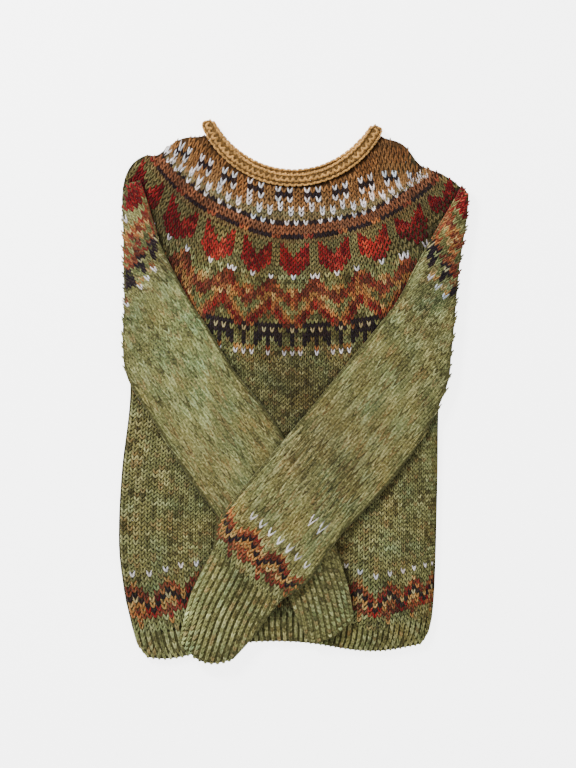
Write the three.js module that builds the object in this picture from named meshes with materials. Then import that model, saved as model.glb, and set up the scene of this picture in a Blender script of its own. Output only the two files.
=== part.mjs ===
import * as THREE from 'three';

// A hand-knitted jumper with a round patterned yoke, laid flat with both sleeves folded across its front.
// Millimetres. X runs across the body, Y from hem to neck, Z up from the surface that it lies on.
// The origin is under the middle of the laid garment.

// Driving dimensions
const clothThickness = 3;
const seamGap = 0.3;
const neckGap = 0.8;
const foldRadius = 7;
const foldEdgeShare = 0.4;
const sleeveWall = 2.5;
const sleeveHigh = 8;
const ribDepth = 1.2;
const hemRibs = 52;
const cuffRibs = 26;
const yokeLine = 40;
const ribLine = -281;
const hemLine = -312;
const rollWidth = 15.5;
const rollHeight = 5;
const frontRollLevel = 8.1;
const frontRollRadius = 118;
const frontRollCentre = 382;
const backRollRadius = 124;
const backRollCentre = 394.4;
const frontNeckRadius = frontRollRadius + rollWidth / 2 + neckGap;
const backNeckRadius = backRollRadius + rollWidth / 2 + neckGap;
const frontNeckLine = frontRollCentre - frontNeckRadius;
const backNeckLine = backRollCentre - backNeckRadius;

// Levels of the layers above the surface
const backTop = clothThickness;
const frontInside = backTop + seamGap;
const frontTop = frontInside + clothThickness;
const sleeveBase = frontTop + seamGap;

// Front courses of knitting from neck to hem. Each is an arc whose lowest point is on the centre line at y,
// with its own radius on each side, and it ends at the side folds, left and right of the centre.
const courses = [
  { y: frontNeckLine, leftRadius: frontNeckRadius, rightRadius: frontNeckRadius, left: 110, right: 109 },
  { y: 232, leftRadius: 162, rightRadius: 165, left: 142, right: 139 },
  { y: 211, leftRadius: 206, rightRadius: 210, left: 168, right: 159 },
  { y: 190, leftRadius: 214, rightRadius: 250, left: 185, right: 186 },
  { y: 167, leftRadius: 244, rightRadius: 268, left: 206, right: 204 },
  { y: 142, leftRadius: 275, rightRadius: 275, left: 215, right: 213 },
  { y: 114, leftRadius: 380, rightRadius: 380, left: 212.5, right: 207 },
  { y: 81, leftRadius: 500, rightRadius: 500, left: 211, right: 198 },
  { y: yokeLine, leftRadius: 640, rightRadius: 640, left: 210, right: 193 },
  { y: -20, leftRadius: 1100, rightRadius: 1100, left: 205, right: 183 },
  { y: -111, leftRadius: 3000, rightRadius: 3000, left: 216, right: 181 },
  { y: -195, leftRadius: 6000, rightRadius: 6000, left: 219.4, right: 179 },
  { y: -250, leftRadius: 6000, rightRadius: 6000, left: 212, right: 177 },
  { y: ribLine, leftRadius: 6000, rightRadius: 6000, left: 203, right: 174 },
  { y: -300, leftRadius: 6000, rightRadius: 6000, left: 196, right: 169 },
  { y: hemLine, leftRadius: 6000, rightRadius: 6000, left: 184, right: 160 },
];

// The back is cut a little higher at the neck
const backCourses = [
  { y: backNeckLine, leftRadius: backNeckRadius, rightRadius: backNeckRadius, left: 111, right: 110 },
  ...courses.slice(1),
];

// The hem hangs lower in two places, fading out upwards to the waist
const waistLine = -120;
const hemSags = [
  { x: -165, halfWidth: 70, drop: 25, dropAbove: 11 },
  { x: 100, halfWidth: 66, drop: 14, dropAbove: 13 },
];

// The front rises to meet the rolled neck edge over this distance
const neckRise = 1.6;
const neckRiseReach = 24;

// Soft troughs and ridges on the front, where its cloth is seen between and beside the sleeves
const sideFade = 20;
const frontFolds = [
  { name: 'yoke crease', x1: -22, y1: 205, x2: -19, y2: 128, halfWidth: 9, height: -1.2 },
  { name: 'yoke left swell', x1: -70, y1: 165, x2: -48, y2: 95, halfWidth: 20, height: 1.4 },
  { name: 'yoke right swell', x1: 60, y1: 170, x2: 42, y2: 98, halfWidth: 22, height: 1.4 },
  { name: 'side ridge', x1: -196, y1: -80, x2: -168, y2: -215, halfWidth: 16, height: 1.5 },
  { name: 'side trough', x1: -150, y1: -170, x2: -120, y2: -235, halfWidth: 12, height: -1.0 },
  { name: 'right ridge', x1: 128, y1: -150, x2: 98, y2: -250, halfWidth: 16, height: 1.6 },
];

// Sleeve sections from the shoulder fold to the end of the cuff. Inner is the edge that lies
// towards the neck, outer is the other edge, high is the tube's thickness where it lies flat,
// and bow is how far the section's middle runs ahead of its edges.
const leftSleeve = [
  { innerX: -191, innerY: 264, outerX: -210, outerY: 259, high: 5.8, bow: 0 },
  { innerX: -184, innerY: 244, outerX: -213, outerY: 222, high: 6.4, bow: 0 },
  { innerX: -173, innerY: 208, outerX: -213, outerY: 162, high: 7.2, bow: 0 },
  { innerX: -161, innerY: 174, outerX: -212, outerY: 108, high: sleeveHigh, bow: 0 },
  { innerX: -129, innerY: 114, outerX: -214, outerY: 58, high: sleeveHigh, bow: 0 },
  { innerX: -108, innerY: 83, outerX: -207, outerY: 14, high: sleeveHigh, bow: 0 },
  { innerX: -73, innerY: 26, outerX: -173, outerY: -42, high: sleeveHigh, bow: 0 },
  { innerX: -26, innerY: -33, outerX: -129, outerY: -112, high: sleeveHigh, bow: 0 },
  { innerX: 8, innerY: -92, outerX: -82, outerY: -173, high: sleeveHigh, bow: 0 },
  { innerX: 33, innerY: -148, outerX: -42, outerY: -223, high: sleeveHigh, bow: 1 },
  { innerX: 54, innerY: -196, outerX: -11, outerY: -252, high: sleeveHigh, bow: 2 },
  { innerX: 69, innerY: -242, outerX: 5, outerY: -288, high: 8.4, bow: 4 },
  { innerX: 76, innerY: -281, outerX: 20, outerY: -315, high: 8.4, bow: 8 },
];
const leftCuffRow = 10;
const rightSleeve = [
  { innerX: 210, innerY: 258, outerX: 219.4, outerY: 245, high: 5.8, bow: 0 },
  { innerX: 199, innerY: 238, outerX: 216.5, outerY: 212, high: 6.4, bow: 0 },
  { innerX: 179, innerY: 204, outerX: 208, outerY: 158, high: 7.2, bow: 0 },
  { innerX: 156, innerY: 164, outerX: 203, outerY: 104, high: sleeveHigh, bow: 0 },
  { innerX: 129, innerY: 114, outerX: 198, outerY: 49, high: sleeveHigh, bow: 0 },
  { innerX: 101, innerY: 77, outerX: 191, outerY: 3, high: sleeveHigh, bow: 0 },
  { innerX: 57, innerY: 24, outerX: 159, outerY: -62, high: sleeveHigh, bow: 0 },
  { innerX: 12, innerY: -31, outerX: 114, outerY: -123, high: sleeveHigh, bow: 0 },
  { innerX: -46, innerY: -99, outerX: 54, outerY: -186, high: sleeveHigh, bow: 0 },
  { innerX: -79, innerY: -139, outerX: 23, outerY: -232, high: sleeveHigh, bow: 0 },
  { innerX: -97, innerY: -166, outerX: 5, outerY: -249, high: sleeveHigh, bow: 0 },
  { innerX: -102, innerY: -196, outerX: -17, outerY: -264, high: sleeveHigh, bow: 0 },
  { innerX: -129, innerY: -252, outerX: -47, outerY: -304, high: 8.4, bow: 6 },
  { innerX: -143, innerY: -305, outerX: -74, outerY: -334, high: 8.4, bow: 18 },
];
const rightCuffRow = 11;

// The right sleeve lies over the left one and comes down to the body within this distance of it
const drapeReach = 32;

const wool = (colour) => new THREE.MeshStandardMaterial({ color: colour, roughness: 0.95, metalness: 0 });
const oliveTweed = wool(0x8a8450);
const yokePattern = wool(0x8c5a3c);
const mustard = wool(0xb08446);

const mix = (a, b, share) => a + (b - a) * share;
const smooth = (share) => {
  const s = Math.min(1, Math.max(0, share));
  return s * s * (3 - 2 * s);
};

// A smooth curve through one column of a table's rows, at a place counted in rows
function through(rows, column, place) {
  const row = Math.min(rows.length - 2, Math.max(0, Math.floor(place)));
  const share = place - row;
  const value = (index) => rows[Math.min(rows.length - 1, Math.max(0, index))][column];
  const [a, b, c, d] = [value(row - 1), value(row), value(row + 1), value(row + 2)];
  const slopeIn = (c - a) / 2;
  const slopeOut = (d - b) / 2;
  const square = share * share;
  const cube = square * share;
  return b * (2 * cube - 3 * square + 1) + slopeIn * (cube - 2 * square + share)
    + c * (3 * square - 2 * cube) + slopeOut * (cube - square);
}

// The course whose lowest point is at y on the centre line
function courseAt(table, y) {
  let row = 0;
  while (row < table.length - 2 && table[row + 1].y > y) row += 1;
  const place = row + (table[row].y - y) / (table[row].y - table[row + 1].y);
  const bends = table.map((course) => ({
    left: 1 / course.leftRadius,
    right: 1 / course.rightRadius,
  }));
  return {
    y,
    leftBend: through(bends, 'left', place),
    rightBend: through(bends, 'right', place),
    left: through(table, 'left', place),
    right: through(table, 'right', place),
  };
}

// How far the hem's uneven hang moves a point down
function hemDrop(x, y) {
  const fade = smooth((waistLine - y) / (waistLine - hemLine));
  return hemSags.reduce((sum, sag) => {
    const across = Math.exp(-(((x - sag.x) / sag.halfWidth) ** 2));
    return sum + across * fade * mix(sag.dropAbove, sag.drop, fade);
  }, 0);
}

// A point on a course, from -1 at the left fold to 1 at the right fold, and its distance from the fold
function onCourse(course, across) {
  const bend = across < 0 ? course.leftBend : course.rightBend;
  const reach = across < 0 ? course.left : course.right;
  const fullAngle = Math.asin(Math.min(0.999, reach * bend));
  const angle = Math.abs(across) * fullAngle;
  const x = Math.sign(across) * Math.sin(angle) / bend;
  const y = course.y + (1 - Math.cos(angle)) / bend;
  return { x, y: y - hemDrop(x, y), fromFold: (1 - Math.abs(across)) * fullAngle / bend };
}

// Height that the folds in a table add at a point
function foldHeight(folds, x, y) {
  return folds.reduce((sum, fold) => {
    const alongX = fold.x2 - fold.x1;
    const alongY = fold.y2 - fold.y1;
    const along = ((x - fold.x1) * alongX + (y - fold.y1) * alongY) / (alongX ** 2 + alongY ** 2);
    const held = Math.min(1, Math.max(0, along));
    const away = Math.hypot(x - fold.x1 - held * alongX, y - fold.y1 - held * alongY);
    return sum + fold.height * Math.exp(-((away / fold.halfWidth) ** 2));
  }, 0);
}

// Share of full thickness near a fold, as a quarter of an ellipse
function foldShare(fromFold) {
  const inward = Math.min(1, fromFold / foldRadius);
  return mix(foldEdgeShare, 1, Math.sqrt(1 - (1 - inward) ** 2));
}

// A closed wall between an outer and an inner grid of points, either a sheet or a tube that wraps round
function wall(outer, inner, wraps) {
  const rows = outer.length;
  const columns = outer[0].length;
  const faces = [];
  const at = (side, row, column) => (side * rows + row) * columns + (column % columns);
  const quad = (a, b, c, d) => faces.push(a, b, c, a, c, d);
  const spans = wraps ? columns : columns - 1;
  for (let column = 0; column < spans; column += 1) {
    for (let row = 0; row < rows - 1; row += 1) {
      quad(at(0, row, column), at(0, row, column + 1), at(0, row + 1, column + 1), at(0, row + 1, column));
      quad(at(1, row, column), at(1, row + 1, column), at(1, row + 1, column + 1), at(1, row, column + 1));
    }
    const end = rows - 1;
    quad(at(0, 0, column), at(1, 0, column), at(1, 0, column + 1), at(0, 0, column + 1));
    quad(at(0, end, column), at(0, end, column + 1), at(1, end, column + 1), at(1, end, column));
  }
  for (let row = 0; !wraps && row < rows - 1; row += 1) {
    quad(at(0, row, 0), at(0, row + 1, 0), at(1, row + 1, 0), at(1, row, 0));
    quad(at(0, row, spans), at(1, row, spans), at(1, row + 1, spans), at(0, row + 1, spans));
  }
  return closedBody([...outer.flat(), ...inner.flat()], faces);
}

// A solid tube through a list of rings, closed by a fan at each end
function capped(rings) {
  const sides = rings[0].length;
  const faces = [];
  for (let ring = 0; ring < rings.length - 1; ring += 1) {
    for (let side = 0; side < sides; side += 1) {
      const here = ring * sides + side;
      const beside = ring * sides + (side + 1) % sides;
      faces.push(here, beside, beside + sides, here, beside + sides, here + sides);
    }
  }
  const points = rings.flat();
  for (const [first, turn] of [[0, 1], [(rings.length - 1) * sides, -1]]) {
    const centre = new THREE.Vector3();
    for (let side = 0; side < sides; side += 1) centre.add(points[first + side]);
    points.push(centre.divideScalar(sides));
    for (let side = 0; side < sides; side += 1) {
      const next = (side + 1) % sides;
      faces.push(points.length - 1, first + (turn > 0 ? next : side), first + (turn > 0 ? side : next));
    }
  }
  return closedBody(points, faces);
}

// A geometry of these points and faces, with its faces turned outwards
function closedBody(points, faces) {
  let volume = 0;
  for (let face = 0; face < faces.length; face += 3) {
    const [a, b, c] = [points[faces[face]], points[faces[face + 1]], points[faces[face + 2]]];
    volume += a.dot(new THREE.Vector3().crossVectors(b, c)) / 6;
  }
  const geometry = new THREE.BufferGeometry().setFromPoints(points);
  geometry.setIndex(volume > 0 ? faces : faces.toReversed());
  geometry.computeVertexNormals();
  return geometry;
}

// Places across a panel, closer together where its side folds curve down
function acrossPlaces(count) {
  const edges = [1, 0.993, 0.98, 0.965];
  const innermost = 0.93;
  const middle = [];
  for (let step = 0; step <= count; step += 1) middle.push(mix(-innermost, innermost, step / count));
  return [...edges.map((place) => -place), ...middle, ...edges.toReversed()];
}

// Front or back cloth between two courses, as a wall that curves down or up at the side folds
function panel({ front, from, to, rows, places, ribs }) {
  const outer = [];
  const inner = [];
  for (let row = 0; row <= rows; row += 1) {
    const course = courseAt(front ? courses : backCourses, mix(from, to, row / rows));
    const outerRow = [];
    const innerRow = [];
    places.forEach((across, place) => {
      const { x, y, fromFold } = onCourse(course, across);
      const valley = ribs ? (place % 2) * ribDepth : 0;
      const neckLift = neckRise * smooth(1 - (frontNeckLine - course.y) / neckRiseReach);
      const fold = foldHeight(frontFolds, x, y) * smooth(fromFold / sideFade);
      const lift = neckLift + Math.max(0, fold);
      const thickness = clothThickness * foldShare(fromFold);
      const upper = frontInside + thickness + lift + Math.min(0, fold) - valley;
      outerRow.push(new THREE.Vector3(x, y, front ? upper : clothThickness - thickness));
      innerRow.push(new THREE.Vector3(x, y, front ? frontInside + lift : backTop));
    });
    outer.push(outerRow);
    inner.push(innerRow);
  }
  return wall(outer, inner, false);
}

// Centre, half width and direction of a sleeve section at a place counted in table rows
function sleeveSection(table, place) {
  const inner = new THREE.Vector2(through(table, 'innerX', place), through(table, 'innerY', place));
  const outer = new THREE.Vector2(through(table, 'outerX', place), through(table, 'outerY', place));
  const across = outer.clone().sub(inner).multiplyScalar(0.5);
  return {
    centre: inner.clone().add(outer).multiplyScalar(0.5),
    across,
    halfWidth: across.length(),
    high: through(table, 'high', place),
    bow: through(table, 'bow', place),
  };
}

const leftSleeveDiscs = [];
for (let place = 4; place <= leftSleeve.length - 1; place += 0.25) {
  leftSleeveDiscs.push(sleeveSection(leftSleeve, place));
}

// How far the left sleeve lifts the one above it at a point
function riseOverLeftSleeve(x, y) {
  const away = Math.min(...leftSleeveDiscs.map((disc) => {
    return Math.hypot(x - disc.centre.x, y - disc.centre.y) - disc.halfWidth;
  }));
  return (sleeveHigh + 2 * seamGap) * smooth(1 - away / drapeReach);
}

// One ring round a sleeve, flatter below than above. Inset draws it inwards, and ribs alternate
// crest and valley.
const upperRoundness = 0.62;
const lowerRoundness = 0.4;
function sleeveRing(section, points, inset, rise, ribs) {
  const ring = [];
  const along = new THREE.Vector2(section.across.y, -section.across.x).normalize();
  if (along.y > 0) along.negate();
  for (let step = 0; step < points; step += 1) {
    const angle = step / points * Math.PI * 2;
    const valley = ribs ? (step % 2) * ribDepth : 0;
    const half = section.high / 2;
    const widthShare = 1 - (inset + valley) / section.halfWidth;
    const side = Math.sin(angle) > 0 ? upperRoundness : lowerRoundness;
    const upright = Math.sign(Math.sin(angle)) * Math.abs(Math.sin(angle)) ** side;
    const place = section.centre.clone()
      .addScaledVector(section.across, Math.cos(angle) * widthShare)
      .addScaledVector(along, section.bow * (1 - Math.cos(angle) ** 2));
    const level = sleeveBase + half + rise(place.x, place.y) + upright * (half - inset - valley);
    ring.push(new THREE.Vector3(place.x, place.y, level));
  }
  return ring;
}

// A flattened tube of cloth along part of a sleeve table
function sleeveTube({ table, from, to, rows, points, rise, ribs }) {
  const outer = [];
  const inner = [];
  for (let row = 0; row <= rows; row += 1) {
    const section = sleeveSection(table, mix(from, to, row / rows));
    outer.push(sleeveRing(section, points, 0, rise, ribs));
    inner.push(sleeveRing(section, points, sleeveWall, rise, false));
  }
  return wall(outer, inner, true);
}

// The rolled edge along the front or back of the neck
function neckRoll({ radius, centreY, level, leftAngle, rightAngle }) {
  const steps = 30;
  const sides = 10;
  const tipLength = 9;
  const tipFlare = 0.3;
  const rings = [];
  for (let step = 0; step <= steps; step += 1) {
    const share = 0.5 - 0.5 * Math.cos(step / steps * Math.PI);
    const angle = mix(-leftAngle, rightAngle, share);
    const fromTip = Math.min(angle + leftAngle, rightAngle - angle) * radius;
    const tip = Math.sqrt(1 - (1 - Math.min(1, fromTip / tipLength)) ** 2 * 0.9);
    const flare = 1 + tipFlare * smooth(Math.abs(angle) / rightAngle);
    const ring = [];
    for (let side = 0; side < sides; side += 1) {
      const turn = side / sides * Math.PI * 2;
      const halfWidth = rollWidth / 2 * tip * (Math.cos(turn) < 0 ? flare : 1);
      const reach = radius + halfWidth * Math.cos(turn);
      ring.push(new THREE.Vector3(
        reach * Math.sin(angle),
        centreY - reach * Math.cos(angle),
        level + rollHeight / 2 * tip * Math.sin(turn),
      ));
    }
    rings.push(ring);
  }
  return capped(rings);
}

const jumper = new THREE.Group();

function add(name, geometry, material) {
  const mesh = new THREE.Mesh(geometry, material);
  mesh.name = name;
  jumper.add(mesh);
}

const halfSeam = seamGap / 2;
const ribPlaces = [];
for (let place = 0; place <= hemRibs * 2; place += 1) ribPlaces.push(mix(-1, 1, place / (hemRibs * 2)));

for (const front of [true, false]) {
  const side = front ? 'front' : 'back';
  const places = acrossPlaces(front ? 20 : 16);
  add(`yoke_${side}`, panel({
    front, from: front ? frontNeckLine : backNeckLine, to: yokeLine + halfSeam, rows: front ? 13 : 9, places,
  }), yokePattern);
  add(`body_${side}`, panel({
    front, from: yokeLine - halfSeam, to: ribLine + halfSeam, rows: front ? 14 : 7, places,
  }), oliveTweed);
  add(`hem_rib_${side}`, panel({
    front, from: ribLine - halfSeam, to: hemLine, rows: 2, places: front ? ribPlaces : places, ribs: front,
  }), oliveTweed);
}

add('neck_roll_front', neckRoll({
  radius: frontRollRadius, centreY: frontRollCentre, level: frontRollLevel, leftAngle: 1.19, rightAngle: 1.12,
}), mustard);
add('neck_roll_back', neckRoll({
  radius: backRollRadius, centreY: backRollCentre, level: rollHeight / 2, leftAngle: 1.08, rightAngle: 1.04,
}), mustard);

const flat = () => 0;
const rowSeam = 0.007;
for (const [name, table, cuffRow, rise] of [
  ['left', leftSleeve, leftCuffRow, flat],
  ['right', rightSleeve, rightCuffRow, riseOverLeftSleeve],
]) {
  add(`sleeve_${name}`, sleeveTube({
    table, from: 0, to: cuffRow - rowSeam / 2, rows: 20, points: 22, rise,
  }), oliveTweed);
  add(`cuff_${name}`, sleeveTube({
    table, from: cuffRow + rowSeam / 2, to: table.length - 1, rows: 4, points: cuffRibs * 2, rise, ribs: true,
  }), oliveTweed);
}

export default jumper;
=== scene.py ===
import math
import random
from collections import namedtuple

import bpy
from mathutils import Matrix, Vector, noise


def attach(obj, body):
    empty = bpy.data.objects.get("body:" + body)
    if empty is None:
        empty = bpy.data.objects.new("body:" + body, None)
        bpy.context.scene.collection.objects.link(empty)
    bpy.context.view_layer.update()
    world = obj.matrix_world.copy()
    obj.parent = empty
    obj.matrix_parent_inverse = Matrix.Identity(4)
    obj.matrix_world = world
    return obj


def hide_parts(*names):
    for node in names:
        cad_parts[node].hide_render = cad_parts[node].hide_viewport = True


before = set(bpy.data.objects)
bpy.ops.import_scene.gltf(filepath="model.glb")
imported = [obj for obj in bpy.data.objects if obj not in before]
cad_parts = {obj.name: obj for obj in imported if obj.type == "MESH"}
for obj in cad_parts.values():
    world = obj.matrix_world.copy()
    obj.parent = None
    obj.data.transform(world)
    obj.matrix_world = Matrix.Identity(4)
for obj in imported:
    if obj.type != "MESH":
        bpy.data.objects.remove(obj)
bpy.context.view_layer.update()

# Body of the jumper
# A plain tube of chunky moss green tweed wool in stocking stitch, with a patterned band above the hem.
# It was knitted in the round and lies flat with a fold down each side, so its front and back are each
# a thin shell here, with the knitted stitches lying on it. Sizes are in millimetres.
MM = 0.001
Course = namedtuple("Course", "y leftRadius rightRadius left right")
frontCourses = [
    Course(255.45, 126.55, 126.55, 110, 109),
    Course(232, 162, 165, 142, 139),
    Course(211, 206, 210, 168, 159),
    Course(190, 214, 250, 185, 186),
    Course(167, 244, 268, 206, 204),
    Course(142, 275, 275, 215, 213),
    Course(114, 380, 380, 212.5, 207),
    Course(81, 500, 500, 211, 198),
    Course(40, 640, 640, 210, 193),
    Course(-20, 1100, 1100, 205, 183),
    Course(-111, 3000, 3000, 216, 181),
    Course(-195, 6000, 6000, 219.4, 179),
    Course(-250, 6000, 6000, 212, 177),
    Course(-281, 6000, 6000, 203, 174),
    Course(-300, 6000, 6000, 196, 169),
    Course(-312, 6000, 6000, 184, 160),
]
backCourses = [Course(261.85, 132.55, 132.55, 111, 110)] + frontCourses[1:]
clothThickness = 3
seamGap = 0.3
frontInside = clothThickness + seamGap
foldRadius = 7
foldEdgeShare = 0.4
sideFade = 20
yokeLine = 40
ribLine = -281
hemLine = -312
waistLine = -120
seamLap = 0.03
neckRise = 1.6
neckRiseReach = 24
Sag = namedtuple("Sag", "x halfWidth drop dropAbove")
hemSags = [Sag(-165, 70, 25, 11), Sag(100, 66, 14, 13)]
Fold = namedtuple("Fold", "x1 y1 x2 y2 halfWidth height")
frontFolds = [
    Fold(-22, 205, -19, 128, 9, -1.2),
    Fold(-70, 165, -48, 95, 20, 1.4),
    Fold(60, 170, 42, 98, 22, 1.4),
    Fold(-196, -80, -168, -215, 16, 1.5),
    Fold(-150, -170, -120, -235, 12, -1.0),
    Fold(128, -150, 98, -250, 16, 1.6),
]


def mix(a, b, share):
    return a + (b - a) * share


def smooth(share):
    held = min(1, max(0, share))
    return held * held * (3 - 2 * held)


def through(values, place):
    """A smooth curve through a list of values, at a place counted in its entries."""
    row = min(len(values) - 2, max(0, math.floor(place)))
    share = place - row
    a, b, c, d = (values[min(len(values) - 1, max(0, row + step))] for step in (-1, 0, 1, 2))
    square = share * share
    cube = square * share
    start = b * (2 * cube - 3 * square + 1) + (c - a) / 2 * (cube - 2 * square + share)
    return start + c * (3 * square - 2 * cube) + (d - b) / 2 * (cube - square)


def course_at(front, y):
    """The course of knitting that crosses the centre line at y: its bend and reach on each side."""
    table = frontCourses if front else backCourses
    row = 0
    while row < len(table) - 2 and table[row + 1].y > y:
        row += 1
    place = row + (table[row].y - y) / (table[row].y - table[row + 1].y)
    course = {}
    for side, radius in (("left", "leftRadius"), ("right", "rightRadius")):
        bends = [1 / getattr(entry, radius) for entry in table]
        reaches = [getattr(entry, side) for entry in table]
        course[side] = (through(bends, place), through(reaches, place))
    return course


def hem_drop(x, y):
    fade = smooth((waistLine - y) / (waistLine - hemLine))
    return sum(
        math.exp(-(((x - sag.x) / sag.halfWidth) ** 2)) * fade * mix(sag.dropAbove, sag.drop, fade)
        for sag in hemSags
    )


def fold_height(x, y):
    height = 0
    for fold in frontFolds:
        along_x = fold.x2 - fold.x1
        along_y = fold.y2 - fold.y1
        along = ((x - fold.x1) * along_x + (y - fold.y1) * along_y) / (along_x**2 + along_y**2)
        held = min(1, max(0, along))
        away = math.hypot(x - fold.x1 - held * along_x, y - fold.y1 - held * along_y)
        height += fold.height * math.exp(-((away / fold.halfWidth) ** 2))
    return height


def half_reach(front, y, side):
    """Length of cloth from the centre line to a side fold."""
    bend, reach = course_at(front, y)[side]
    return math.asin(min(0.999, reach * bend)) / bend


def on_panel(front, y, across, inset=0.0):
    """A point of the front or back cloth. Across runs from -1 at the left fold to 1 at the right one, and
    inset from 0 at the outer face to 1 at the inner, which the other panel lies against."""
    course = course_at(front, y)
    bend, reach = course["left" if across < 0 else "right"]
    full = math.asin(min(0.999, reach * bend))
    angle = abs(across) * full
    x = math.copysign(math.sin(angle) / bend, across)
    flat_y = y + (1 - math.cos(angle)) / bend
    from_fold = max(0, (1 - abs(across)) * full / bend)
    inward = min(1, from_fold / foldRadius)
    thickness = clothThickness * mix(foldEdgeShare, 1, math.sqrt(1 - (1 - inward) ** 2))
    point_y = flat_y - hem_drop(x, flat_y)
    if not front:
        return Vector((x, point_y, clothThickness - thickness * (1 - inset)))
    neck_lift = neckRise * smooth(1 - (frontCourses[0].y - y) / neckRiseReach)
    fold = fold_height(x, point_y) * smooth(from_fold / sideFade)
    lift = neck_lift + max(0, fold)
    return Vector((x, point_y, frontInside + lift + min(0, fold) * (1 - inset) + thickness * (1 - inset)))


def wool(red, green, blue):
    """A yarn colour, given as it looks on a screen from 0 to 255, as linear light."""
    channels = []
    for value in (red, green, blue):
        share = value / 255
        channels.append(share / 12.92 if share <= 0.04045 else ((share + 0.055) / 1.055) ** 2.4)
    return tuple(channels)


# Tweed is spun from several dyed wools, so one yarn passes from moss to hay, straw and bark
moss = wool(101, 99, 58)
tweedMoss = [
    (moss, 5),
    (wool(111, 111, 69), 4),
    (wool(128, 127, 84), 2.4),
    (wool(89, 87, 50), 3),
    (wool(72, 68, 38), 1.8),
    (wool(107, 93, 56), 1.6),
]
strawFleck = wool(160, 154, 104)
dice = random.Random(11)
# The front has darker, browner and lighter areas, partly the tweed's own tone and partly painted
# shade and painted light on the cloth. Each is a soft patch here.
ToneAndLightPatch = namedtuple("ToneAndLightPatch", "x y reachX reachY red green blue")
frontToneAndLightPatches = [
    ToneAndLightPatch(-8, 15, 75, 70, 0.5, 0.45, 0.44),
    ToneAndLightPatch(40, -70, 70, 60, 0.82, 0.76, 0.8),
    ToneAndLightPatch(-130, 60, 60, 80, 1.16, 1.24, 1.24),
    ToneAndLightPatch(-60, -30, 60, 60, 1.18, 1.24, 1.24),
    ToneAndLightPatch(-112, -292, 50, 50, 1.7, 1.9, 2.1),
    ToneAndLightPatch(50, -298, 36, 34, 1.25, 1.35, 1.35),
    ToneAndLightPatch(-150, 100, 60, 90, 1.02, 1.16, 1.25),
    ToneAndLightPatch(176, 130, 40, 70, 0.74, 0.84, 0.92),
    ToneAndLightPatch(-165, -250, 45, 26, 0.62, 0.64, 0.64),
    ToneAndLightPatch(125, -310, 70, 25, 0.88, 0.9, 0.88),
    ToneAndLightPatch(-92, 186, 34, 30, 1.3, 1.25, 1.2),
    ToneAndLightPatch(-150, 200, 34, 60, 0.62, 0.56, 0.6),
    ToneAndLightPatch(112, 190, 40, 34, 1.15, 1.12, 1.1),
    ToneAndLightPatch(158, 205, 26, 46, 0.66, 0.58, 0.6),
]
cloudSize = 26


def with_tone_and_painted_light(colour, point):
    """A yarn colour as it is in this part of the garment, with clouds of lighter and browner wool, and soft
    patches of the tweed's own tone mixed with painted shade and painted light.
    """
    place = Vector((point.x, point.y, point.z * 4)) / cloudSize
    light = 1 + 0.34 * noise.noise(place)
    brown = 0.2 * noise.noise(place + Vector((31, 7, 0)))
    lightness = [light * (1 + brown), light * (1 - 0.2 * brown), light * (1 - brown)]
    # The patches paint shade and light onto the yarn, together with the tweed's own tone
    for patch in frontToneAndLightPatches:
        away = ((point.x - patch.x) / patch.reachX) ** 2 + ((point.y - patch.y) / patch.reachY) ** 2
        share = math.exp(-away)
        for channel, factor in enumerate(patch[4:]):
            lightness[channel] *= mix(1, factor, share)
    return tuple(value * factor for value, factor in zip(colour, lightness))


def varied(colour, spread):
    """A yarn colour a little lighter or darker, as hand-dyed wool is."""
    lightness = 1 + dice.uniform(-spread, spread)
    return tuple(channel * lightness for channel in colour)


def face_outward(mesh):
    """Turns a closed mesh's faces outward, where they all point in."""
    mesh.calc_loop_triangles()
    corners = [[mesh.vertices[index].co for index in face.vertices] for face in mesh.loop_triangles]
    if sum(a.dot(b.cross(c)) for a, b, c in corners) < 0:
        mesh.flip_normals()


def placed(name, data):
    """An object of the scene, at the origin."""
    made = bpy.data.objects.new(name, data)
    bpy.context.scene.collection.objects.link(made)
    return made


def closed_wall(name, outer, inner, wraps, outer_yarn):
    """A closed shell of cloth between an outer and an inner grid of points, with its own colours."""
    rows = len(outer)
    columns = len(outer[0])
    spans = columns if wraps else columns - 1
    points = [p * MM for grid in (outer, inner) for row in grid for p in row]
    yarns = [(*outer_yarn(r, c), 1.0) for _ in range(2) for r in range(rows) for c in range(columns)]

    def at(side, row, column):
        return (side * rows + row) * columns + column % columns

    def cell(side, row, column):
        return (side * 0.5 + 0.01 + 0.48 * column / spans, 0.01 + 0.9 * row / (rows - 1))

    faces = []
    places = []
    for row in range(rows - 1):
        for column in range(spans):
            corners = [(row, column), (row + 1, column), (row + 1, column + 1), (row, column + 1)]
            faces.append([at(0, *corner) for corner in corners])
            places.append([cell(0, *corner) for corner in corners])
            faces.append([at(1, *corner) for corner in reversed(corners)])
            places.append([cell(1, *corner) for corner in reversed(corners)])
    for column in range(spans):
        for row, first in ((0, 1), (rows - 1, 0)):
            corners = [(first, column), (1 - first, column), (1 - first, column + 1), (first, column + 1)]
            faces.append([at(side, row, step) for side, step in corners])
            level = 0.93 if row == 0 else 0.96
            places.append([(0.01 + 0.98 * step / spans, level + 0.02 * side) for side, step in corners])
    if not wraps:
        for column, first in ((0, 0), (spans, 1)):
            for row in range(rows - 1):
                corners = [(first, row), (1 - first, row), (1 - first, row + 1), (first, row + 1)]
                faces.append([at(side, step, column) for side, step in corners])
                edge = 0.5 if column else 0
                places.append(
                    [(edge + 0.01 + 0.48 * step / rows, 0.985 + 0.01 * side) for side, step in corners]
                )
    mesh = bpy.data.meshes.new(name)
    mesh.from_pydata(points, [], faces)
    layer = mesh.uv_layers.new(name="OFBake")
    layer.data.foreach_set("uv", [value for face in places for place in face for value in place])
    colours = mesh.attributes.new("yarn", "FLOAT_COLOR", "POINT")
    colours.data.foreach_set("color", [value for yarn in yarns for value in yarn])
    face_outward(mesh)
    mesh.shade_smooth()
    return placed(name, mesh)


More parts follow.
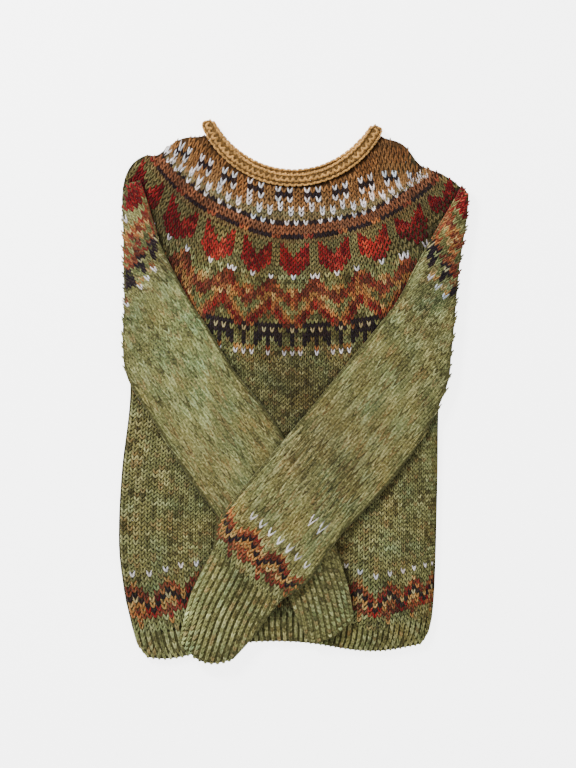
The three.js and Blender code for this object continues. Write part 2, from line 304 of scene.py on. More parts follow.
def node(tree, kind, inputs=None, **settings):
    """A new node. Each input is set to its value, or linked where that is another node's output."""
    made = tree.nodes.new(kind)
    for name, value in settings.items():
        setattr(made, name, value)
    for name, value in (inputs or {}).items():
        if isinstance(value, bpy.types.NodeSocket):
            tree.links.new(value, made.inputs[name])
        else:
            made.inputs[name].default_value = value
    return made


def maths(tree, operation, *values, kind="ShaderNodeMath"):
    return node(tree, kind, dict(enumerate(values)), operation=operation).outputs[0]


def vectors(tree, operation, *values):
    return maths(tree, operation, *values, kind="ShaderNodeVectorMath")


fleckShift = 3.1
leastLightness = 0.12
fibreSize = 0.0009
fibreDepth = 0.0006


def wool_fibre_group():
    """Shared look of spun wool: the yarn's own colour, lighter and darker along its length, with flecks
    of another wool spun in, and a fibre bump. Sizes are in metres."""
    group = bpy.data.node_groups.new("Wool fibre", "ShaderNodeTree")
    for name, kind, value in (
        ("Mottle size", "NodeSocketFloat", 0.003),
        ("Mottle", "NodeSocketFloat", 0.5),
        ("Patch size", "NodeSocketFloat", 0.03),
        ("Patches", "NodeSocketFloat", 0.2),
        ("Fleck colour", "NodeSocketColor", (0.5, 0.45, 0.2, 1)),
        ("Flecks", "NodeSocketFloat", 0.5),
        ("Bump", "NodeSocketFloat", 0.5),
    ):
        group.interface.new_socket(name, in_out="INPUT", socket_type=kind).default_value = value
    group.interface.new_socket("Colour", in_out="OUTPUT", socket_type="NodeSocketColor")
    group.interface.new_socket("Normal", in_out="OUTPUT", socket_type="NodeSocketVector")
    inputs = node(group, "NodeGroupInput").outputs
    yarn = node(group, "ShaderNodeAttribute", attribute_name="yarn").outputs["Color"]
    where = node(group, "ShaderNodeTexCoord").outputs["Object"]
    mottle_scale = maths(group, "DIVIDE", 1, inputs["Mottle size"])
    patch_scale = maths(group, "DIVIDE", 1, inputs["Patch size"])

    def clouds(scale, detail, shift=0):
        moved = vectors(group, "ADD", where, (shift, shift, 0))
        settings = {"Vector": moved, "Scale": scale, "Detail": detail}
        return node(group, "ShaderNodeTexNoise", settings).outputs["Fac"]

    def about_one(field, strength):
        """One plus the clouds about their middle, by a strength."""
        centred = maths(group, "MULTIPLY_ADD", field, 4, -2)
        return maths(group, "MAXIMUM", maths(group, "MULTIPLY_ADD", centred, strength, 1), leastLightness)

    def above(value, low, high, shape):
        settings = {"Value": value, "From Min": low, "From Max": high}
        return node(group, "ShaderNodeMapRange", settings, interpolation_type=shape).outputs["Result"]

    flecks = above(clouds(mottle_scale, 2, fleckShift), 0.54, 0.64, "SMOOTHSTEP")
    # Dark yarns are spun pure, so the flecks fade out on them
    pale = above(node(group, "ShaderNodeRGBToBW", {0: yarn}).outputs[0], 0.02, 0.11, "LINEAR")
    share = maths(group, "MULTIPLY", maths(group, "MULTIPLY", flecks, pale), inputs["Flecks"])
    settings = {"Factor": share, 6: yarn, 7: inputs["Fleck colour"]}
    flecked = node(group, "ShaderNodeMix", settings, data_type="RGBA").outputs[2]
    mottle = about_one(clouds(mottle_scale, 3), inputs["Mottle"])
    lightness = maths(group, "MULTIPLY", mottle, about_one(clouds(patch_scale, 2), inputs["Patches"]))
    tinted = node(group, "ShaderNodeVectorMath", {0: flecked, "Scale": lightness}, operation="SCALE")
    settings = {"Distance": fibreDepth, "Strength": inputs["Bump"], "Height": clouds(1 / fibreSize, 4)}
    bump = node(group, "ShaderNodeBump", settings)
    node(group, "NodeGroupOutput", {"Colour": tinted.outputs[0], "Normal": bump.outputs["Normal"]})
    return group


woolFibre = wool_fibre_group()
mottleSize = 0.0028
fibreBump = 0.6


def wool_material(name, mottle, patches, fleck_colour, flecks):
    material = bpy.data.materials.new(name)
    material.use_nodes = True
    tree = material.node_tree
    shader = tree.nodes["Principled BSDF"]
    shader.inputs["Roughness"].default_value = 0.92
    shader.inputs["Specular IOR Level"].default_value = 0.12
    shader.inputs["Sheen Weight"].default_value = 0.06
    shader.inputs["Sheen Roughness"].default_value = 0.4
    settings = {
        "Mottle size": mottleSize,
        "Mottle": mottle,
        "Patches": patches,
        "Fleck colour": (*fleck_colour, 1),
        "Flecks": flecks,
        "Bump": fibreBump,
    }
    fibre = node(tree, "ShaderNodeGroup", settings, node_tree=woolFibre)
    tree.links.new(fibre.outputs["Colour"], shader.inputs["Base Color"])
    tree.links.new(fibre.outputs["Normal"], shader.inputs["Normal"])
    return material


def knitting_tree():
    """Knitted stitches of two yarn legs each, one stitch on each point of the input."""
    tree = bpy.data.node_groups.new("Knitted stitches", "GeometryNodeTree")
    face = tree.interface
    face.new_socket("Geometry", in_out="INPUT", socket_type="NodeSocketGeometry")
    for name, kind, value in (
        ("Foot", "NodeSocketVector", (0, 0, 0)),
        ("Bend", "NodeSocketVector", (0, 0, 0)),
        ("Tip", "NodeSocketVector", (0, 0, 0)),
        ("Yarn radius", "NodeSocketFloat", 0.00125),
        ("Taper", "NodeSocketFloat", 0.35),
        ("Leg steps", "NodeSocketInt", 3),
        ("Yarn sides", "NodeSocketInt", 4),
        ("Unevenness", "NodeSocketFloat", 0.08),
        ("Seed", "NodeSocketInt", 4),
        ("Wool", "NodeSocketMaterial", None),
    ):
        socket = face.new_socket(name, in_out="INPUT", socket_type=kind)
        if value is not None:
            socket.default_value = value
    face.new_socket("Geometry", in_out="OUTPUT", socket_type="NodeSocketGeometry")
    inputs = node(tree, "NodeGroupInput").outputs
    legs = node(tree, "GeometryNodeJoinGeometry")
    for side in (1, -1):
        settings = {"Resolution": inputs["Leg steps"]}
        for part, end in (("Foot", "Start"), ("Bend", "Middle"), ("Tip", "End")):
            settings[end] = vectors(tree, "MULTIPLY", inputs[part], (side, 1, 1))
        leg = node(tree, "GeometryNodeCurveQuadraticBezier", settings)
        tree.links.new(leg.outputs["Curve"], legs.inputs[0])
    # The yarn is fullest in the middle of a leg and thinner where it dips under its neighbours
    along = node(tree, "GeometryNodeSplineParameter").outputs["Factor"]
    centred = maths(tree, "MULTIPLY_ADD", along, 2, -1)
    thinner = maths(tree, "MULTIPLY", maths(tree, "MULTIPLY", centred, centred), inputs["Taper"])
    settings = {"Resolution": inputs["Yarn sides"], "Radius": inputs["Yarn radius"]}
    profile = node(tree, "GeometryNodeCurvePrimitiveCircle", settings).outputs["Curve"]
    settings = {
        "Curve": legs.outputs[0],
        "Profile Curve": profile,
        "Scale": maths(tree, "SUBTRACT", 1, thinner),
        "Fill Caps": True,
    }
    yarn = node(tree, "GeometryNodeCurveToMesh", settings).outputs["Mesh"]
    soft = node(tree, "GeometryNodeSetShadeSmooth", {"Geometry": yarn}).outputs[0]
    # Each stitch has its own cell of the bake map: its upper faces in one half, its lower in the other
    box = node(tree, "GeometryNodeBoundBox", {"Geometry": soft}).outputs
    start = vectors(tree, "SUBTRACT", node(tree, "GeometryNodeInputPosition").outputs[0], box["Min"])
    share = vectors(tree, "DIVIDE", start, vectors(tree, "SUBTRACT", box["Max"], box["Min"]))
    halved = vectors(tree, "MULTIPLY_ADD", share, (0.46, 0.94, 0), (0.02, 0.03, 0))
    facing = node(tree, "ShaderNodeSeparateXYZ", {0: node(tree, "GeometryNodeInputNormal").outputs[0]})
    below = maths(tree, "LESS_THAN", facing.outputs["Z"], 0)
    on_faces = node(tree, "GeometryNodeFieldOnDomain", {0: below}, domain="FACE", data_type="FLOAT")
    beside = vectors(tree, "MULTIPLY_ADD", on_faces.outputs[0], (0.5, 0, 0), halved)

    def named(name):
        settings = {"Name": name}
        found = node(tree, "GeometryNodeInputNamedAttribute", settings, data_type="FLOAT_VECTOR")
        return found.outputs["Attribute"]

    def stored(geometry, name, value, kind):
        settings = {"Name": name, "Geometry": geometry, "Value": value}
        made = node(tree, "GeometryNodeStoreNamedAttribute", settings, data_type=kind, domain="CORNER")
        return made.outputs[0]

    # One stitch on each point, turned and sized by the point's own values and a little uneven
    settings = {
        "Min": maths(tree, "SUBTRACT", 1, inputs["Unevenness"]),
        "Max": maths(tree, "ADD", 1, inputs["Unevenness"]),
        "Seed": inputs["Seed"],
    }
    uneven = node(tree, "FunctionNodeRandomValue", settings, data_type="FLOAT_VECTOR").outputs["Value"]
    settings = {
        "Points": inputs["Geometry"],
        "Instance": stored(soft, "within", beside, "FLOAT_VECTOR"),
        "Rotation": node(tree, "FunctionNodeEulerToRotation", {0: named("turn")}).outputs[0],
        "Scale": vectors(tree, "MULTIPLY", named("size"), uneven),
    }
    stitches = node(tree, "GeometryNodeInstanceOnPoints", settings).outputs[0]
    realized = node(tree, "GeometryNodeRealizeInstances", {0: stitches}).outputs[0]
    cell = named("cell")
    cell_size = node(tree, "ShaderNodeSeparateXYZ", {0: cell}).outputs["Z"]
    corner = vectors(tree, "MULTIPLY_ADD", named("within"), cell_size, cell)
    knit = stored(realized, "OFBake", corner, "FLOAT2")
    for name in ("within", "cell", "turn", "size"):
        knit = node(tree, "GeometryNodeRemoveAttribute", {"Name": name, "Geometry": knit}).outputs[0]
    finish = node(tree, "GeometryNodeSetMaterial", {"Geometry": knit, "Material": inputs["Wool"]})
    node(tree, "NodeGroupOutput", {0: finish.outputs[0]})
    return tree


knitting = knitting_tree()
stitchWidth = 6.0
stitchHeight = 5.0
# Half a stocking stitch, from its foot on the wale's line to the tip that dips under the next row
plainStitch = {
    "Foot": (0.3, -3.0, -1.3),
    "Bend": (1.6, -1.0, -0.4),
    "Tip": (2.75, 3.1, -2.5),
    "Yarn radius": 1.2,
}


def knitted(name, stitches, shape, material, yarn_sides=4, unevenness=0.07, seed=4):
    """Stitches as one plain mesh. Each is (point, across, up, yarn), where across and up are the
    stitch's width and height on the cloth, in millimetres."""
    cells = math.ceil(math.sqrt(len(stitches)))
    points = []
    turns = []
    sizes = []
    yarns = []
    places = []
    for index, (point, across, up, yarn) in enumerate(stitches):
        outward = across.cross(up).normalized()
        right = (across.normalized() + up.normalized().cross(outward)).normalized()
        ahead = outward.cross(right)
        points.append(point * MM)
        turns.extend(Matrix((right, ahead, outward)).transposed().to_euler())
        sizes.extend((across.dot(right) / stitchWidth, up.dot(ahead) / stitchHeight, 1.0))
        yarns.extend((*yarn, 1.0))
        places.extend((index % cells / cells, index // cells / cells, 1 / cells))
    mesh = bpy.data.meshes.new(name + "_points")
    mesh.from_pydata(points, [], [])
    mesh.attributes.new("turn", "FLOAT_VECTOR", "POINT").data.foreach_set("vector", turns)
    mesh.attributes.new("size", "FLOAT_VECTOR", "POINT").data.foreach_set("vector", sizes)
    mesh.attributes.new("cell", "FLOAT_VECTOR", "POINT").data.foreach_set("vector", places)
    mesh.attributes.new("yarn", "FLOAT_COLOR", "POINT").data.foreach_set("color", yarns)
    maker = placed(name + "_points", mesh)
    modifier = maker.modifiers.new("Knitting", "NODES")
    modifier.node_group = knitting
    sockets = {item.name: item.identifier for item in knitting.interface.items_tree if item.in_out == "INPUT"}
    for part in ("Foot", "Bend", "Tip"):
        modifier[sockets[part]] = [value * MM for value in shape[part]]
    modifier[sockets["Yarn radius"]] = shape["Yarn radius"] * MM
    modifier[sockets["Yarn sides"]] = yarn_sides
    modifier[sockets["Unevenness"]] = unevenness
    modifier[sockets["Seed"]] = seed
    modifier[sockets["Wool"]] = material
    depsgraph = bpy.context.evaluated_depsgraph_get()
    made = bpy.data.meshes.new_from_object(
        maker.evaluated_get(depsgraph), preserve_all_data_layers=True, depsgraph=depsgraph
    )
    made.name = name
    bpy.data.objects.remove(maker)
    piece = placed(name, made)
    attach(piece, "root")
    return piece


def panel_shell(name, front, top, bottom, rows, columns, ground, material):
    """The thin cloth that a panel's stitches lie on."""
    outer = []
    inner = []
    edge = 0.996
    for row in range(rows + 1):
        y = mix(top, bottom, row / rows)
        places = [math.sin(mix(-1, 1, step / columns) * math.pi / 2) * edge for step in range(columns + 1)]
        outer.append([on_panel(front, y, across, inset=0.62) for across in places])
        inner.append([on_panel(front, y, across, inset=1) for across in places])
    piece = closed_wall(name, outer, inner, False, lambda row, _: ground(mix(top, bottom, row / rows)))
    piece.data.materials.append(material)
    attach(piece, "root")
    return piece


def panel_stitch(front, y, step, height, place_of):
    """Where a stitch lies on a panel, with its width and height there. Place_of gives a stitch's course
    and how far across it is, from its step, counted from the centre, and its row's course."""

    def spot(line, course):
        real_course, across = place_of(line, course)
        return on_panel(front, real_course, across if front else -across)

    across = spot(step + 0.5, y) - spot(step - 0.5, y)
    up = spot(step, y + height / 2) - spot(step, y - height / 2)
    return spot(step, y), across, up


# Under the sleeves the front's stitches are never seen, so only those near a sleeve's edge are made
Section = namedtuple("Section", "innerX innerY outerX outerY high bow")
leftSleeve = [
    Section(-191, 264, -210, 259, 5.8, 0),
    Section(-184, 244, -213, 222, 6.4, 0),
    Section(-173, 208, -213, 162, 7.2, 0),
    Section(-161, 174, -212, 108, 8, 0),
    Section(-129, 114, -214, 58, 8, 0),
    Section(-108, 83, -207, 14, 8, 0),
    Section(-73, 26, -173, -42, 8, 0),
    Section(-26, -33, -129, -112, 8, 0),
    Section(8, -92, -82, -173, 8, 0),
    Section(33, -148, -42, -223, 8, 1),
    Section(54, -196, -11, -252, 8, 2),
    Section(69, -242, 5, -288, 8.4, 4),
    Section(76, -281, 20, -315, 8.4, 8),
]
leftCuffRow = 10
rightSleeve = [
    Section(210, 258, 219.4, 245, 5.8, 0),
    Section(199, 238, 216.5, 212, 6.4, 0),
    Section(179, 204, 208, 158, 7.2, 0),
    Section(156, 164, 203, 104, 8, 0),
    Section(129, 114, 198, 49, 8, 0),
    Section(101, 77, 191, 3, 8, 0),
    Section(57, 24, 159, -62, 8, 0),
    Section(12, -31, 114, -123, 8, 0),
    Section(-46, -99, 54, -186, 8, 0),
    Section(-79, -139, 23, -232, 8, 0),
    Section(-97, -166, 5, -249, 8, 0),
    Section(-102, -196, -17, -264, 8, 0),
    Section(-129, -252, -47, -304, 8.4, 6),
    Section(-143, -305, -74, -334, 8.4, 18),
]
rightCuffRow = 11


def section_at(table, place):
    inner = Vector((through([s.innerX for s in table], place), through([s.innerY for s in table], place)))
    outer = Vector((through([s.outerX for s in table], place), through([s.outerY for s in table], place)))
    return {
        "centre": (inner + outer) / 2,
        "across": (outer - inner) / 2,
        "high": through([s.high for s in table], place),
        "bow": through([s.bow for s in table], place),
    }


sleeveDiscs = []
for table in (leftSleeve, rightSleeve):
    for quarter in range(4 * (len(table) - 2) + 1):
        disc = section_at(table, quarter / 4)
        sleeveDiscs.append((disc["centre"], disc["across"].length))


def from_a_sleeve(point):
    """How far a point of the front is outside the nearest sleeve's edge."""
    flat = point.to_2d()
    return min((flat - centre).length - radius for centre, radius in sleeveDiscs)


hiddenMargin = 9


def under_a_sleeve(point):
    return from_a_sleeve(point) < -hiddenMargin


besideShade = 0.66
besideReach = 18
besideStart = 4


def beside_sleeves(colour, point):
    """A yarn colour made darker where the cloth meets a sleeve, for the shade the photo shows there."""
    share = mix(besideShade, 1, smooth((from_a_sleeve(point) + besideStart) / besideReach))
    return tuple(channel * share for channel in colour)


bodyHalf = 36
lastWaleAcross = 0.985
bodyRowHeight = 4.75
bandTop = -219
bandRowHeight = 5.5
# How far across the body each third wale lies, from the left fold to the right one
thirdWales = [
    -1.03, -0.932, -0.832, -0.733, -0.645, -0.558, -0.479, -0.401, -0.322, -0.244, -0.165, -0.087, -0.008,
    0.085, 0.179, 0.274, 0.3685, 0.467, 0.579, 0.6775, 0.769, 0.846, 0.9236, 0.9725, 1.0,
]
# The front isn't laid quite straight, so its band waves. Each number is its lift, one step on from the
# last. The lift comes in below the waist and fades out again over the rib.
bandLifts = [-6, -4.6, -1.8, 3.5, 7.8, 8.4, 8, 8, 8, 8, 8, 8, 8, 8, 7.5, 1, -5, -2.8, -0.6, 2.2, 5]
liftStep = 20
liftLeft = -220
liftStart = -150
liftGrowth = 60
liftEnd = -275
liftFade = 37


def body_across(step):
    return through(thirdWales, step / 3 + 12)


def lifted(course, across):
    """The course that the front's row really follows at a place across the body."""
    reach = half_reach(True, course, "left" if across < 0 else "right")
    lift = through(bandLifts, (across * reach - liftLeft) / liftStep)
    lift *= smooth((liftStart - course) / liftGrowth)
    return course + lift * (1 - smooth((liftEnd - course) / liftFade))


def body_place(step, course):
    across = body_across(step)
    return (lifted(course, across) if front else course), across


# Patterned band, one letter a stitch: W white, D black, R brick, r rust, o gold, w pale, g green
hemBand = [
    "W..W..",
    "......",
    "o.....",
    "rr...r",
    "Drr.rr",
    "wDroRD",
    "ooDoDo",
    "roRDRo",
    "rrrRrr",
    "r.....",
    "o.....",
]
# Each is a heather of a few shades, with how often each shade comes
heathers = {
    "W": [(wool(206, 200, 200), 3), (wool(188, 184, 184), 1)],
    "D": [(wool(30, 21, 24), 3), (wool(40, 28, 28), 1)],
    "R": [(wool(110, 21, 21), 4), (wool(84, 14, 17), 2), (wool(134, 42, 33), 1)],
    "r": [(wool(110, 54, 34), 5), (wool(84, 38, 26), 3), (wool(104, 34, 28), 1), (wool(146, 88, 48), 1.6)],
    "o": [(wool(144, 100, 52), 5), (wool(116, 66, 38), 1.4), (wool(160, 126, 76), 2)],
    "w": [(wool(150, 136, 98), 1)],
    "g": [(wool(90, 88, 50), 5), (wool(68, 64, 36), 2), (wool(122, 118, 72), 2), (wool(100, 62, 36), 0.6)],
    ".": tweedMoss,
}
bandPhase = {True: 3, False: 0}
bodyRows = []
courseY = yokeLine - 2.5
while courseY > bandTop + 4:
    bodyRows.append((courseY, bodyRowHeight, None))
    courseY -= bodyRowHeight
for index, letters in enumerate(hemBand):
    bodyRows.append((bandTop - index * bandRowHeight, bandRowHeight, letters))
bodyRows.append((bandTop - len(hemBand) * bandRowHeight + 0.6, bandRowHeight, None))

bodyWool = wool_material("Body wool, moss tweed", 0.65, 0.15, strawFleck, 0.5)
groundShade = 0.24
bodyClothRows = 26
clothColumns = 40


def shaded(colour, share=groundShade):
    """The ground between stitches, in their shade."""
    return tuple(channel * share for channel in colour)


heatherSpread = 0.16


def yarn_of(letter):
    """One stitch's yarn, a shade of the letter's heather."""
    colours, weights = zip(*heathers[letter])
    return varied(dice.choices(colours, weights)[0], heatherSpread)


for front in (True, False):
    side = "front" if front else "back"
    body = panel_shell(
        f"body_{side}_cloth",
        front,
        yokeLine - seamLap,
        ribLine + seamLap,
        bodyClothRows,
        clothColumns,
        lambda _y: shaded(moss),
        bodyWool,
    )
    made = []
    for y, height, letters in bodyRows:
        for step in range(-bodyHalf, bodyHalf + 1):
            point, across, up = panel_stitch(front, y, step, height, body_place)
            yarn = with_tone_and_painted_light(yarn_of(letters[(step + bandPhase[front]) % 6] if letters else "."), point)
            if abs(body_across(step)) > lastWaleAcross or (front and under_a_sleeve(point)):
                continue
            made.append((point, across, up, beside_sleeves(yarn, point) if front else yarn))
    stitches = knitted(f"body_{side}_stitches", made, plainStitch, bodyWool, yarn_sides=4 if front else 3)
    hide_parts(f"body_{side}")

# Hem
# The body ends in one by one ribbing, which the knitter worked on finer needles. Each rib is a raised
# column of stitches with a sunk purl column beside it.
hemRibs = 52
hemRowHeight = 5.0
ribGroundShade = 0.36
hemRows = 6
hemClothRows = 5
hemClearance = 0.6
ribStitch = {
    "Foot": (0.4, -3.3, -0.7),
    "Bend": (0.9, -0.6, 0.1),
    "Tip": (1.5, 3.5, -1.3),
    "Yarn radius": 1.2,
}


def rib_place(step, course):
    across = step / (hemRibs / 2)
    return (lifted(course, across) if front else course), across


for front in (True, False):
    side = "front" if front else "back"
    rib = panel_shell(
        f"hem_rib_{side}_cloth",
        front,
        ribLine - seamLap,
        hemLine + hemClearance,
        hemClothRows,
        clothColumns,
        lambda _y: shaded(moss, ribGroundShade),
        bodyWool,
    )
    made = []
    for row in range(hemRows):
        y = ribLine - hemRowHeight * (row + 0.5)
        for count in range(hemRibs):
            step = count - hemRibs / 2 + 0.5
            point, across, up = panel_stitch(front, y, step, hemRowHeight, rib_place)
            if front and under_a_sleeve(point):
                continue
            yarn = with_tone_and_painted_light(yarn_of("."), point)
            made.append((point, across * 0.86, up, beside_sleeves(yarn, point) if front else yarn))
    stitches = knitted(f"hem_rib_{side}_stitches", made, ribStitch, bodyWool, yarn_sides=4 if front else 3)
    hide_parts(f"hem_rib_{side}")

# Sleeves
# Two plain tubes of the same tweed with a patterned band above the cuff, laid across the front. Their
# tops carry the yoke's pattern on, because the shoulder is folded there. The right one lies over the left.
sleeveWall = 2.5
sleeveHigh = 8
sleeveBase = frontInside + clothThickness + seamGap
upperRoundness = 0.62
lowerRoundness = 0.4
drapeReach = 32
leftDiscs = []
for quarter in range(16, 4 * (len(leftSleeve) - 1) + 1):
    disc = section_at(leftSleeve, quarter / 4)
    leftDiscs.append((disc["centre"], disc["across"].length))


def rise_over_left(flat):
    away = min((flat - centre).length - radius for centre, radius in leftDiscs)
    return (sleeveHigh + 2 * seamGap) * smooth(1 - away / drapeReach)


def lies_flat(_flat):
    return 0


def on_sleeve(section, angle, inset, rise):
    """A point round a sleeve, at an angle from its outer edge over the top."""
    along = Vector((section["across"].y, -section["across"].x)).normalized()
    if along.y > 0:
        along.negate()
    half = section["high"] / 2
    width_share = 1 - inset / section["across"].length
    roundness = upperRoundness if math.sin(angle) > 0 else lowerRoundness
    upright = math.copysign(abs(math.sin(angle)) ** roundness, math.sin(angle))
    flat = section["centre"] + section["across"] * math.cos(angle) * width_share
    flat = flat + along * section["bow"] * math.sin(angle) ** 2
    return Vector((flat.x, flat.y, sleeveBase + half + rise(flat) + upright * (half - inset)))


def sleeve_rows(table, start, end, height):
    """Places along a sleeve table that are one stitch's height apart, from its shoulder end."""
    places = []
    travelled = height / 2
    steps = 40 * (end - start)
    last = section_at(table, start)["centre"]
    for step in range(1, steps + 1):
        place = mix(start, end, step / steps)
        here = section_at(table, place)["centre"]
        travelled += (here - last).length
        last = here
        if travelled >= height:
            travelled -= height
            places.append(place)
    return places


def over_sleeve(section, rise):
    """Lengths of cloth over the top of a sleeve from its inner edge, with their angles."""
    fine = 48
    angles = [math.pi * (1 - step / fine) for step in range(fine + 1)]
    points = [on_sleeve(section, angle, 0, rise) for angle in angles]
    run = [0.0]
    for a, b in zip(points, points[1:]):
        run.append(run[-1] + (b - a).length)
    return list(zip(run, angles))


def angle_at(lengths, wanted):
    """The angle at a length of cloth from the sleeve's inner edge."""
    for (before, first), (after, second) in zip(lengths, lengths[1:]):
        if wanted <= after:
            return mix(first, second, max(0, wanted - before) / (after - before))
    return lengths[-1][1]


sleeveClothRows = 88
cuffSeam = 0.0035
shellInset = 1.9
shellSideInset = 0.8
sleeveGroundShade = 0.38


def sidelong(angle):
    """How nearly a place round a sleeve is at one of its folded sides, from 0 to 1."""
    return abs(math.cos(angle)) ** 8


def sleeve_shell(name, table, start, end, rows, rise, ground, material):
    outer = []
    inner = []
    sides = 48
    for row in range(rows + 1):
        section = section_at(table, mix(start, end, row / rows))
        ring = [step / sides * 2 * math.pi for step in range(sides)]
        insets = [mix(shellInset, shellSideInset, sidelong(angle)) for angle in ring]
        outer.append([on_sleeve(section, angle, inset, rise) for angle, inset in zip(ring, insets)])
        inner.append([on_sleeve(section, angle, sleeveWall, rise) for angle in ring])
    piece = closed_wall(name, outer, inner, True, lambda *_: ground)
    piece.data.materials.append(material)
    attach(piece, "root")
    return piece


# The upper sleeve is made paler along its inner fold, a painted highlight where the fold faces the light. One
# number a wale.
paintedEdgeHighlight = [1.4, 1.25, 1.08]


sideInset = 0.9


def sleeve_stitches(table, places, pitch, rise, mirrored, chart, width_share=1.0):
    """Stitches over the top of a sleeve, in wales counted from its inner edge, shoulder end up."""
    made = []
    half_row = 0.5 * (places[1] - places[0])
    for row, place in enumerate(places):
        here = section_at(table, place)
        above = section_at(table, place - half_row)
        below = section_at(table, place + half_row)
        lengths = over_sleeve(here, rise)
        lengths_above = over_sleeve(above, rise)
        lengths_below = over_sleeve(below, rise)
        for wale in range(int(lengths[-1][0] / pitch + 0.1)):
            middle = pitch * (wale + 0.5)
            near, far = (
                on_sleeve(here, angle_at(lengths, middle + side * pitch / 2), 0, rise) for side in (-1, 1)
            )
            up = on_sleeve(above, angle_at(lengths_above, middle), 0, rise) - on_sleeve(
                below, angle_at(lengths_below, middle), 0, rise
            )
            across = near - far if mirrored else far - near
            angle = angle_at(lengths, middle)
            point = on_sleeve(here, angle, sideInset * sidelong(angle), rise)
            yarn = with_tone_and_painted_light(chart(row, wale), point)
            # Wales along the upper sleeve's inner fold get a painted highlight
            pale = paintedEdgeHighlight[wale] if not mirrored and wale < len(paintedEdgeHighlight) else 1
            made.append((point, across * width_share, up, tuple(channel * pale for channel in yarn)))
    return made


sleeveBand = [
    "W.W.W.",
    "......",
    "o.....",
    "rr...r",
    "Drr.rr",
    "oDrorD",
    "ooDoDo",
    "rooDoo",
    "rrrrrr",
    "r..r.r",
    "...r..",
]
sleeveWool = wool_material("Sleeve wool, moss tweed", 0.65, 0.15, strawFleck, 0.5)
# The band's white stitches begin after the plain wales, and the band is that many rows above the cuff
SleeveKnit = namedtuple(
    "SleeveKnit", "side table cuffRow rise mirrored pitch rowHeight dotsAt plainWales bandLift"
)
sleeveKnits = [
    SleeveKnit("left", leftSleeve, leftCuffRow, lies_flat, True, 7.0, 5.2, [], 0, 3),
    SleeveKnit("right", rightSleeve, rightCuffRow, rise_over_left, False, 7.5, 5.4, [12, 14], 3, 0),
]
# The rings of the yoke that pass over the shoulder, from a heart's tip to the lowest white dots
sleeveTopRings = [
    ".RRRRR...RRR",
    "..RRR.....R.",
    "W.....W.....",
    "rr.......rrr",
    "rrr.....rrrr",
    "rrrroooorrrr",
    "orrrrrrrrroo",
    "rroorrrroorr",
    "rrgroogrrggr",
    "rrggorrgrrgg",
    "rrgggrrggrrr",
    "rrrgggrrrgrr",
    "rrrrgrrrrrgr",
    "DDDDrrDrrDDD",
    "DwDggDwDggDw",
    "DDDDggDggDDD",
    "D.DD..D..DD.",
    "D..D..D..D..",
    "r...oo.oo...",
    "W...W.W.W...",
]
sleeveDotsPlace = 3.0
for knit in sleeveKnits:
    side, table, cuff_row, rise = knit[:4]
    places = sleeve_rows(table, 0, cuff_row, knit.rowHeight)
    band_start = len(places) - len(sleeveBand) - 1 - knit.bandLift
    dots_row = min(range(len(places)), key=lambda row: abs(places[row] - sleeveDotsPlace))
    stray_row = min(range(len(places)), key=lambda row: abs(places[row] - 8.0))

    def sleeve_yarn(row, wale):
        letter = "."
        if 0 <= row - band_start < len(sleeveBand):
            letter = sleeveBand[row - band_start][wale % 6]
            if letter == "W" and wale < knit.plainWales:
                letter = "."
        if row <= dots_row:
            letter = sleeveTopRings[max(0, len(sleeveTopRings) - 1 - dots_row + row)][(wale + 1) % 12]
        if row == stray_row and wale in knit.dotsAt:
            letter = "W"
        return yarn_of(letter)

    sleeve = sleeve_shell(
        f"sleeve_{side}_cloth",
        table,
        0,
        cuff_row - cuffSeam,
        sleeveClothRows,
        rise,
        shaded(moss, sleeveGroundShade),
        sleeveWool,
    )
    made = sleeve_stitches(table, places, knit.pitch, rise, knit.mirrored, sleeve_yarn)
    stitches = knitted(f"sleeve_{side}_stitches", made, plainStitch, sleeveWool)
    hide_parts(f"sleeve_{side}")

# Cuffs
# Each sleeve ends in one by one ribbing of the same wool, as the hem does.
cuffRibPitch = 7.6
cuffRowHeight = 5.2
cuffGroundShade = 0.5
cuffClothRows = 16
for knit in sleeveKnits:
    side, table, cuff_row, rise = knit[:4]
    end = len(table) - 1
    places = sleeve_rows(table, cuff_row, end, cuffRowHeight)
    cuff = sleeve_shell(
        f"cuff_{side}_cloth",
        table,
        cuff_row + cuffSeam,
        end,
        cuffClothRows,
        rise,
        shaded(moss, cuffGroundShade),
        sleeveWool,
    )
    made = sleeve_stitches(
        table, places, cuffRibPitch, rise, knit.mirrored, lambda *_: yarn_of("."), width_share=0.82
    )
    stitches = knitted(f"cuff_{side}_stitches", made, ribStitch, sleeveWool)
    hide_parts(f"cuff_{side}")

# Yoke
# The round yoke is knitted in one with the body and sleeves, in rings of pattern on a ground that
# passes from green to rust and mustard, and it is taken in towards the neck between the rings.
# The charts are written one letter a stitch, from the neck down.
Ring = namedtuple("Ring", "y letters middle perRepeat shift")
neckRings = ["W.W..", "DDD..", "W.W.."]
flowerRings = ["W.....", "W.W.W.", "..W.W.", "......"]
collarRings = ["WDWDWDD", ".......", ".......", "DDDrrDD"]
heartRings = [
    ".........",
    "R.....R..",
    "RR...RR..",
    "RRR.RRR..",
    "RRRRRRR..",
    "RRRRRRR..",
    ".RRRRR...",
    "..RRR....",
    "...W...WW...W...W.",
]
